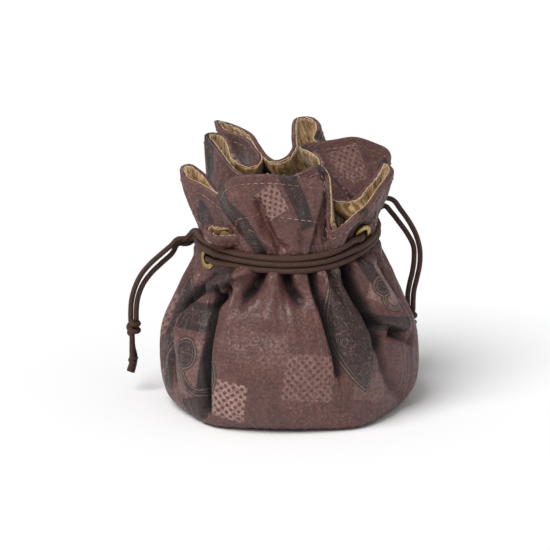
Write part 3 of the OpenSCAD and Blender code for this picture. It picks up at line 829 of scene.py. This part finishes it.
def outsideEyelets(points, faces, reach):
    # the faces whose centre is not in an eyelet's hole, which is a cylinder of this reach to each side
    centres = points[faces].mean(1)
    stay = np.ones(len(faces), bool)
    for name in eyelets:
        centre, axis = eyeletFrame(name)
        off = centres - centre
        deep = off @ axis
        r = np.linalg.norm(off - deep[:, None] * axis, axis=1)
        stay &= ~((r < eyeletHole["radius"]) & (np.abs(deep) < reach))
    return faces[stay]


def makeLeather(c):
    roll = rolledEdge(c)
    inner, keep = innerFace(c["innerRows"], 2 * c["rollRadius"], c["thickness"])
    points = np.concatenate([outer, roll, inner])
    rows, columns = points.shape[:2]
    faces = gridFaces(rows, columns, closeRows=True)
    flat = points.reshape(-1, 3)
    faces = outsideEyelets(flat, faces, eyeletHole["throughLeather"])
    below = np.concatenate([drop, np.zeros(roll.shape[:2]), drop[keep]])
    rowOf = np.concatenate([np.arange(len(outer)), np.full(len(roll), 999), keep])[:, None]
    onCollar = np.broadcast_to(rowOf >= c["bodyRows"], (rows, columns))
    turn = np.broadcast_to(ringAngle % 360, (rows, columns))
    along = np.broadcast_to(hemArc, (rows, columns))
    # how deep each point lies in a fold, the source of the painted shade in the folds
    hollowShade = np.concatenate([foldDepth, np.zeros(roll.shape[:2]), foldDepth[keep]])
    fields = printFields(turn, points[..., 2], along, below, onCollar)
    # painted shade mask, strongest in the deepest folds of the belly
    fields["hollowShade"] = 1 - np.exp(-(np.maximum(hollowShade - 1.2, 0) / 1.9)**1.6)
    return makeMesh("leatherBody", flat, faces, "root", leatherSkin, ["leather_body"],
                    fields=fields)


searchReach = 4.0  # how far a lining point looks for the outer face


def keptInside(points, gap):
    # points that came too near the outer face, or through it, are set back behind it
    tree = BVHTree.FromPolygons(outer.reshape(-1, 3).tolist(), gridFaces(*outer.shape[:2]).tolist())
    flat = points.reshape(-1, 3).copy()
    for i, q in enumerate(flat):
        near, normal, _, _ = tree.find_nearest(Vector(q), searchReach)
        if near is not None and (Vector(q) - near).dot(normal) > -gap:
            flat[i] = near - normal * gap
    return flat.reshape(points.shape)


def flatSize(face):
    # no cutting pattern is known, so a panel's flat size is measured on one face of its shape, in metres:
    # the longest ring by the mean height along the cloth, and the area as two triangles for each cell
    across = np.roll(face, -1, axis=1)
    ring = np.linalg.norm(across - face, axis=2).sum(1).max()
    height = np.linalg.norm(np.diff(face, axis=0), axis=2).sum(0).mean()
    lower = np.cross(across[:-1] - face[:-1], face[1:] - face[:-1])
    upper = np.cross(across[1:] - across[:-1], face[1:] - across[:-1])
    area = (np.linalg.norm(lower, axis=2) + np.linalg.norm(upper, axis=2)).sum() / 2
    return {"size": (round(float(ring) / 1000, 3), round(float(height) / 1000, 3)),
            "area": round(float(area) / 1e6, 4)}


lining = {"rows": 60, "atHem": 2.35, "below": 1.9, "edgeRadius": 0.24, "crumple": 0.9}


def makeLining(c):
    inner, keep = innerFace(c["rows"], c["atHem"], c["below"])
    columns = inner.shape[1]
    depth = drop[keep]
    crease = np.sin(hemArc * 1.15 + 1.5 * np.sin(hemArc * 0.31) + depth * 0.10)
    crease = crease + 0.5 * np.sin(hemArc * 2.3 + depth * 0.22)
    tight = np.exp(-((ringAngle - 577) / 22)**4)  # the smallest lobe has no room for creases
    amount = c["crumple"] * smooth(depth / 7) * smooth((60 - depth) / 20) * (1 - tight)
    inner = inner - easedNormal[keep] * ((crease * 0.5 + 0.4) * amount)[..., None]
    inner = keptInside(inner, 1.25)
    measured = flatSize(inner)
    first = outer[-1] - topNormal * c["atHem"] + topWay * 0.1
    inner = np.concatenate([first[None], inner])
    back = inner - np.concatenate([topNormal[None], easedNormal[keep]]) * 0.3
    points = np.concatenate([inner, back[::-1]])
    faces = gridFaces(len(points), columns, closeRows=True)
    flat = points.reshape(-1, 3)
    faces = outsideEyelets(flat, faces, eyeletHole["throughLining"])
    # the bright turned edge of the satin, a little uneven
    uneven = 0.22 * np.sin(hemArc * 1.9) + 0.2 * np.sin(hemArc * 4.3 + 1) + 0.12 * np.sin(hemArc * 7.1)
    line = outer[-1] - topNormal * (c["atHem"] - 0.15) + topWay * (0.3 + uneven)[:, None]
    edge = ringsAlong(line, c["edgeRadius"], 6, closed=True)
    start = len(flat)
    edgeFaces = gridFaces(len(line), 6, closeRows=True, start=start)
    allPoints = np.concatenate([flat, edge.reshape(-1, 3)])
    arcs = np.concatenate([np.broadcast_to(hemArc, points.shape[:2]).ravel(), np.repeat(hemArc, 6)])
    depths = np.concatenate([np.zeros((1, columns)), depth])
    drops = np.concatenate([np.concatenate([depths, depths[::-1]]).ravel(), np.full(len(line) * 6, -2.0)])
    piece = makeMesh("satinLining", allPoints, np.concatenate([faces[:, ::-1], edgeFaces]), "root",
                     satinSkin, ["lining_body"], fields={"arc": arcs, "drop": drops})
    return piece, measured


stitches = {"length": 2.2, "pitch": 2.9, "radius": 0.17}


def stitchRow(line, normal, c, pitch):
    # one short capsule for each stitch, its ends dipping into the leather
    s = lengthAlong(line)
    starts = np.arange(pitch / 2, s[-1] - c["length"], pitch)
    t = np.linspace(0, 1, 5)
    at = starts[:, None] + t[None] * c["length"]
    p = np.stack([np.interp(at, s, line[:, j]) for j in range(3)], axis=-1)
    n = unit(np.stack([np.interp(at, s, normal[:, j]) for j in range(3)], axis=-1))
    ahead = unit(np.gradient(p, axis=1))
    side = unit(np.cross(ahead, n))
    bow = c["radius"] * (0.9 - 1.5 * (2 * t - 1)**4)
    p = p + n * bow[None, :, None]
    r = c["radius"] * np.sqrt(np.clip(1 - (2 * t - 1)**6, 0.15, 1))
    a = np.linspace(0, 2 * np.pi, 6, endpoint=False)
    ring = (np.cos(a)[:, None] * side[:, :, None] + np.sin(a)[:, None] * n[:, :, None])
    points = p[:, :, None] + r[None, :, None, None] * ring
    count = len(starts)
    one = gridFaces(5, 6)
    faces = (one[None] + (np.arange(count) * 30)[:, None, None]).reshape(-1, 4)
    firsts = np.arange(count) * 30
    low = [[b + i for i in (5, 4, 3, 2, 1, 0)] for b in firsts]
    high = [[b + 24 + i for i in range(6)] for b in firsts]
    return points.reshape(-1, 3), faces, low + high


def lineBelowHem(distance):
    at = np.array([np.interp(-distance, -drop[:, j], np.arange(len(outer))) for j in range(outer.shape[1])])
    k = np.floor(at).astype(int).clip(0, len(outer) - 2)
    w = (at - k)[:, None]
    j = np.arange(outer.shape[1])
    place = outer[k, j] * (1 - w) + outer[k + 1, j] * w
    normal = outerNormal[k, j] * (1 - w) + outerNormal[k + 1, j] * w
    return place, unit(normal)


def makeStitches(c):
    line, n = lineBelowHem(2.8)
    p, f, caps = stitchRow(np.concatenate([line, line[:1]]), np.concatenate([n, n[:1]]), c, c["pitch"])
    makeMesh("hemStitches", p, f, "root", threadSkin, ["hem_thread"], ends=caps)
    line, n = lineBelowHem(17.0)
    points, faces, caps, start = [], [], [], 0
    # the row under the mouth is seen only where the collar stands up clear of the cords
    clear = line[:, 2] > np.interp(ringAngle % 360, *np.array(bandHeight, float).T) + 72 + 7
    groups = np.split(np.arange(len(line)), np.nonzero(np.diff(clear.astype(int)))[0] + 1)
    for g in groups:
        if clear[g[0]] and len(g) > 12:
            p, f, e = stitchRow(line[g], n[g], c, c["pitch"])
            points.append(p)
            faces.append(f + start)
            caps += [[i + start for i in one] for one in e]
            start += len(p)
    makeMesh("facingStitches", np.concatenate(points), np.concatenate(faces), "root", threadSkin,
             ["facing_thread"], ends=caps)
    column = np.argmin(np.abs(ringAngle - 472.5))
    rows = np.arange(4, len(outer) - 1)
    rows = rows[drop[rows, column] > 17.5]
    p, f, caps = stitchRow(outer[rows, column], outerNormal[rows, column], c, c["pitch"])
    makeMesh("backSeamStitches", p, f, "root", threadSkin, ["back_seam_thread"], ends=caps)


printColours = {"ground": (103, 68, 64), "pale": (172, 136, 126), "dark": (46, 35, 34),
                "line": (150, 122, 108)}
# the belly's print, placed by angle and height: half width, half height, tilt in degrees, strength
dottedBlocks = [
    (242, 14.5, 9.0, 8.6, -9, 1.0), (279, 25, 10.5, 10, -6, 0.42), (299, 61, 6.5, 7, 10, 0.7),
    (263, 36, 6, 7, -8, 0.2),
    (20, 26, 10, 10, 9, 0.8), (68, 18, 9, 9, -10, 0.9), (104, 40, 10, 9, 6, 0.7), (150, 22, 10, 9, -7, 0.9),
    (186, 38, 9, 9, 12, 0.6), (60, 52, 9, 8, 14, 0.6)]
plainBlocks = [(331, 56, 9, 8, -28, 0.5), (219, 24, 8, 12, 4, 0.24), (309, 18, 9, 6, -14, 0.25),
               (5, 12, 10, 6, 8, 0.5),
               (92, 62, 9, 7, 14, 0.6), (140, 55, 9, 7, -8, 0.6)]
ovals = [(302, 43, 8, 38, 26.5), (25, 50, -12, 32, 23), (126, 34, 8, 38, 28), (196, 38, 4, 42, 34)]
scrollHeads = [(218, 30, 7.0), (327, 57, 4.6), (86, 40, 7.0), (164, 30, 6.0), (44, 60, 5.0)]
darkBands = [(219, 45, 12, 5.5, 3), (327, 41, 15, 3.4, -14), (226, 61, 12, 4.4, 20), (110, 14, 14, 3.4, 4),
             (58, 34, 13, 3, -6), (200, 30, 4.5, 20, 4), (323, 64, 3.2, 6, 30), (222, 6, 7, 5, 20),
             (229, 23, 2.6, 17, -4)]
# the collar's print, placed by the distance along the mouth and below it
collarDots = [(34, 11, 6.5, 6.0, -30, 0.7), (205, 10, 9, 8, 15, 0.6), (278, 11, 8, 8, -12, 0.4),
              (395, 12, 9, 9, 25, 0.6), (470, 9, 9, 8, -20, 0.7), (540, 12, 9, 8, 15, 0.6)]
collarBands = [(47, 9, 3.6, 13, -28), (112, 8, 3, 16, -20), (150, 12, 4, 14, 30), (250, 12, 3.4, 16, 25),
               (345, 10, 4, 14, -30), (425, 10, 3.4, 15, 20), (505, 8, 4, 12, -15), (583, 13, 8, 5.5, 20),
               (172, 13, 8, 5, -28), (299, 15, 6.5, 10, 24),
               (14, 16, 5.5, 22, -24)]


def printFields(turn, height, arc, drop, onCollar):
    # signed distances to the printed shapes in millimetres, less than 0 inside them
    far = np.full(turn.shape, 50.0)
    betweenDots = 1.7  # half the pitch of the dots, where there is none
    lined = far.copy()
    dark, pale, strength, dotX, dotY = far.copy(), far.copy(), far * 0, far * 0, far * 0

    def local(a, b, tilt, collar):
        x = arc - a if collar else ((turn - a + 180) % 360 - 180) * 0.95
        y = drop - b if collar else height - b
        t = math.radians(tilt)
        hidden = np.where(onCollar == collar, 0.0, 50.0)
        return x * math.cos(t) + y * math.sin(t), y * math.cos(t) - x * math.sin(t), hidden

    for shapes, collar in ((darkBands, False), (collarBands, True)):
        for a, b, halfWidth, halfHeight, tilt in shapes:
            x, y, hidden = local(a, b, tilt, collar)
            dark = np.minimum(dark, np.maximum(np.abs(x) - halfWidth, np.abs(y) - halfHeight) + hidden)
    for a, b, tilt, radius, offset in ovals:  # where two circles overlap
        x, y, hidden = local(a, b, tilt, False)
        lined = np.minimum(lined, np.maximum(np.hypot(x - offset, y), np.hypot(x + offset, y)) - radius
                           + hidden)
    for a, b, radius in scrollHeads:  # a disc with a hooked tail under it
        x, y, hidden = local(a, b, 0, False)
        lined = np.minimum(lined, np.hypot(x, y) - radius + hidden)
        hook = np.abs(np.hypot(x - radius * 1.2, y + radius * 0.9) - radius * 1.35) - radius * 0.3
        lined = np.minimum(lined, np.maximum(hook, y) + hidden)
    for shapes, collar, dotted in ((dottedBlocks, False, True), (plainBlocks, False, False),
                                   (collarDots, True, True)):
        for a, b, halfWidth, halfHeight, tilt, amount in shapes:
            x, y, hidden = local(a, b, tilt, collar)
            d = np.maximum(np.abs(x) - halfWidth, np.abs(y) - halfHeight) + hidden
            nearer = d < pale
            pale = np.where(nearer, d, pale)
            strength = np.where(nearer, amount, strength)
            dotX = np.where(nearer, x if dotted else betweenDots, dotX)
            dotY = np.where(nearer, y if dotted else 0.0, dotY)
    return {"darkEdge": np.minimum(dark, lined), "lineEdge": lined, "paleEdge": pale,
            "paleAmount": strength, "dotX": dotX, "dotY": dotY}


def leatherMaterial(c):
    f = Finish("printedLeather", Specular_IOR_Level=0.42)
    p = f.place()
    names = ("darkEdge", "lineEdge", "paleEdge", "paleAmount", "dotX", "dotY", "hollowShade")
    dark, lined, pale, amount, x, y, hollowShade = (f.field(k) for k in names)
    wear = f.noise(p, 0.9, 5, 0.62)
    blotch = f.noise(p, 0.11, 3)
    pitch, size = 3.4, 0.205

    def lattice(shift):  # distance to the nearest point of a square lattice
        a = (x / pitch + shift).fract() - 0.5
        b = (y / pitch + shift).fract() - 0.5
        return (a * a * a * a + b * b * b * b).root().root()

    dots = lattice(0.0).smaller(lattice(0.5)).step(size + 0.035, size - 0.035)
    block = pale.step(0.3, -0.3) * amount * (1.0 - dots) * wear.step(0.78, 0.5)
    # worn specks of an old print
    specks = f.cells(p, 0.62).step(0.30, 0.16) * f.noise(p, 0.055, 2).step(0.52, 0.66)
    block = block.larger(specks * 0.5)
    shape = dark.step(0.25, -0.25)
    lines = abs(lined + 0.8).step(0.36, 0.16).larger(abs(lined + 2.0).step(0.24, 0.06) * 0.8)
    scroll = f.noise(f.scaled(p, 0.2), 1.0, 1, 0.4, 1.2)
    curls = abs((scroll * 7.0).fract() - 0.5).step(0.12, 0.04) * dark.step(-2.4, -3.2)
    lines = lines.larger(curls * 0.7 * wear.step(0.3, 0.5))
    fade = 0.7 + 0.3 * wear.step(0.7, 0.45)
    g = c["ground"]
    base = mix(blotch.step(0.3, 0.7), colour(*[v * 0.93 for v in g]), colour(*[v * 1.06 for v in g]))
    base = mix((block * fade).clamp(), base, colour(*c["pale"]))
    base = mix((shape * fade).clamp(), base, colour(*c["dark"]))
    base = mix((lines * fade * 0.65).clamp(), base, colour(*c["line"]))
    grain = f.cells(p, 0.85, "SMOOTH_F1")
    pores = f.noise(p, 2.0, 3, 0.5)
    rubbed = grain.step(0.25, 0.62) * 0.4 + pores.step(0.6, 0.35) * 0.12
    base = mix(rubbed, base, colour(56, 36, 34))
    # painted shade: the leather darkens towards near black in the deep folds
    base = mix((hollowShade * 0.96).clamp(), base, colour(12, 8, 8))
    creases = f.noise(f.scaled(p, (0.5, 0.5, 1.0)), 0.3, 4, 0.55, 0.7)
    ridges = abs(creases - 0.5).step(0.0, 0.06)
    dents = f.noise(p, 0.14, 2, 0.5)
    tall = pores * 0.12 - grain * 0.6 + ridges * 0.4 + dents * 2.6
    rough = 0.33 + grain * 0.14 + pores * 0.06 + hollowShade * 0.5
    return f.finish(Base_Color=base, Roughness=rough, Normal=f.bump(tall, 0.34, 0.95))


# deep and lit are a painted shaded and a painted lit copy of the satin's colour; edge is the colour of the
# turned edge
satinColours = {"deep": (116, 82, 46), "lit": (208, 172, 122), "edge": (216, 194, 160)}


def satinMaterial(c):
    f = Finish("goldSatin", Specular_IOR_Level=0.6, Sheen_Weight=0.25, Sheen_Roughness=0.35)
    arc, drop = f.field("arc"), f.field("drop")
    crumple = f.noise(f.vector(arc * 0.5, drop * 0.16), 0.9, 3, 0.5, 0.6)
    weave = f.noise(f.vector(arc * 6.0, drop * 1.2), 1.0, 2)
    # the crumple noise paints highlights and shade of the creases, between the lit and the shaded satin
    # tones
    base = mix((crumple * 0.8 + weave * 0.2).step(0.34, 0.66), colour(*c["deep"]), colour(*c["lit"]))
    # painted shade: the satin darkens deeper down inside the bag
    base = mix(drop.step(16.0, 40.0) * 0.8, base, colour(30, 20, 12))
    ragged = f.noise(f.vector(arc * 1.4, 0.0), 1.0, 2).step(0.42, 0.56)
    base = mix(drop.step(0.2, -1.0) * (0.3 + ragged * 0.7), base, colour(*c["edge"]))
    return f.finish(Base_Color=base, Roughness=0.24 + weave * 0.16,
                    Normal=f.bump(crumple + weave * 0.05, 2.2, 0.9))


leatherSkin = leatherMaterial(printColours)
satinSkin = satinMaterial(satinColours)
leatherBody = makeLeather(leather)
leatherFlat = flatSize(outer)
satinLining, satinFlat = makeLining(lining)
makeStitches(stitches)
print("flat sizes in metres: leather", leatherFlat, "satin", satinFlat)
print("leather, lining and stitches in place")


def plainLeather():
    f = Finish("baseLeather", Specular_IOR_Level=0.42)
    p = f.place()
    grain = f.cells(p, 1.15, "SMOOTH_F1")
    pores = f.noise(p, 2.6, 4, 0.6)
    base = mix(grain.step(0.2, 0.7) * 0.3 + pores * 0.2, colour(*printColours["ground"]),
               colour(70, 52, 50))
    return f.finish(Base_Color=base, Roughness=0.5 + pores * 0.15,
                    Normal=f.bump(pores - grain * 0.6, 0.3, 0.8))


def plainSatin():
    f = Finish("baseSatin", Specular_IOR_Level=0.6)
    weave = f.noise(f.place(), 3.0, 2)
    # a fine weave noise mixes the painted shaded and lit satin tones
    return f.finish(Base_Color=mix(weave, colour(*satinColours["deep"]), colour(*satinColours["lit"])),
                    Roughness=0.35 + weave * 0.1, Normal=f.bump(weave, 0.1))


def dressFrame():
    skins = {"leather_base": plainLeather(), "lining_base": plainSatin(), "base_seam_thread": threadSkin}
    for name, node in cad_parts.items():
        skin = skins.get(name, brass if name.startswith(("eyelet", "washer")) else None)
        if skin:
            node.data.materials.clear()
            node.data.materials.append(skin)


dressFrame()

# the floor and the light

studio = {"floor": (253, 253, 253), "world": 0.34, "sun": 2.6, "softness": 40.0, "fill": 0.3}


def makeSun(name, power, softness, aim):
    data = bpy.data.lights.new(name, "SUN")
    data.energy = power
    data.angle = math.radians(softness)
    light = bpy.data.objects.new(name, data)
    x, y, z = aim
    light.rotation_euler = (math.atan2(math.hypot(x, y), z), 0, math.atan2(x, -y))
    bpy.context.scene.collection.objects.link(light)


def makeStudio(c):
    side = 3000.0
    s = side * mm
    mesh = bpy.data.meshes.new("floor")
    mesh.from_pydata([(-s, -s, -0.0002), (s, -s, -0.0002), (s, s, -0.0002), (-s, s, -0.0002)], [],
                     [(0, 1, 2, 3)])
    floor = bpy.data.objects.new("floor", mesh)
    bpy.context.scene.collection.objects.link(floor)
    f = Finish("paleFloor", Roughness=0.9, Specular_IOR_Level=0.1, Base_Color=colour(*c["floor"]))
    mesh.materials.append(f.material)
    world = bpy.data.worlds.new("studio")
    bpy.context.scene.world = world
    world.use_nodes = True
    background = world.node_tree.nodes["Background"]
    background.inputs[0].default_value = (1, 1, 1, 1)
    background.inputs[1].default_value = c["world"]
    makeSun("keyLight", c["sun"], c["softness"], (-0.5, -0.55, 1.0))
    makeSun("fillLight", c["fill"], 90.0, (0.8, -0.9, 0.7))
    bpy.context.scene.view_settings.view_transform = "Standard"


makeStudio(studio)
print("studio in place")
